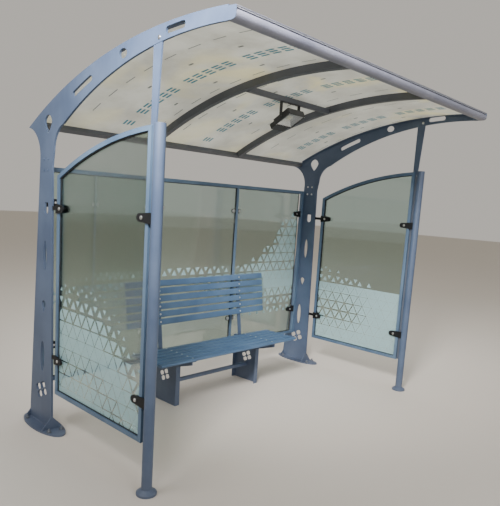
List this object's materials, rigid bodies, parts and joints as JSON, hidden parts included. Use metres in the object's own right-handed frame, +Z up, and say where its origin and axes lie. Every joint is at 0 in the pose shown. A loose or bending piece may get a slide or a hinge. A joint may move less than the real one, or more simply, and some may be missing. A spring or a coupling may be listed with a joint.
{
  "type": "bus shelter",
  "caption": "Open-fronted bus shelter with two arched plate columns, a curved translucent roof, glass walls, a slatted bench and a tilting floodlight.",
  "frame": {"origin": "on the floor, under the middle of the whole object's box", "axes": "+X along the shelter to the right seen from the open front, +Y to the rear glass wall, +Z up"},
  "size_m": [3.196, 2.0579, 2.606],
  "materials": {
    "frame_paint": "satin blue-grey powder coat",
    "beam_paint": "satin grey powder coat",
    "bench_paint": "satin blue powder coat",
    "toughened_glass": "clear with frosted film",
    "roof_skin": "opal sheet under a protective film",
    "clamp_black": "moulded black",
    "lamp_paint": "dark grey cast",
    "lamp_glass": "clear"
  },
  "bodies": {
    "shelter": {"bench_back_slats": "bench_paint", "bench_seat_slats": "bench_paint", "bench_stretcher": "frame_paint", "floodlight_bracket": "lamp_paint", "left_arch": "frame_paint", "left_back_arm": "frame_paint", "left_base_plate": "frame_paint", "left_bench_leg": "frame_paint", "left_column": "frame_paint", "left_cover_strip": "beam_paint", "left_front_post": "frame_paint", "left_panel_clamps": "clamp_black", "left_panel_frame": "frame_paint", "left_panel_glass": "toughened_glass", "left_post_foot": "frame_paint", "left_rear_glass": "toughened_glass", "left_rear_mullion": "frame_paint", "left_roof_rib": "frame_paint", "left_roof_sheet": "roof_skin", "left_roof_strut": "frame_paint", "middle_rear_glass": "toughened_glass", "middle_roof_sheet": "roof_skin", "rear_bottom_rail": "frame_paint", "rear_end_posts": "frame_paint", "rear_glass_fittings": "clamp_black", "rear_top_rail": "frame_paint", "right_arch": "frame_paint", "right_back_arm": "frame_paint", "right_base_plate": "frame_paint", "right_bench_leg": "frame_paint", "right_column": "frame_paint", "right_cover_strip": "beam_paint", "right_front_post": "frame_paint", "right_panel_clamps": "clamp_black", "right_panel_frame": "frame_paint", "right_panel_glass": "toughened_glass", "right_post_foot": "frame_paint", "right_rear_glass": "toughened_glass", "right_rear_mullion": "frame_paint", "right_roof_rib": "frame_paint", "right_roof_sheet": "roof_skin", "right_roof_strut": "frame_paint", "roof_cross_rail": "frame_paint", "roof_front_beam": "beam_paint", "roof_rear_beam": "frame_paint"},
    "floodlight": {"floodlight_case": "lamp_paint", "floodlight_lens": "lamp_glass"}
  },
  "joints": [
    {"name": "floodlight_tilt", "type": "hinge", "parent": "shelter", "child": "floodlight", "pos_m": [0, -0.123, 2.37012], "axis": [1, 0, 0], "range_deg": [-60, 45]}
  ]
}
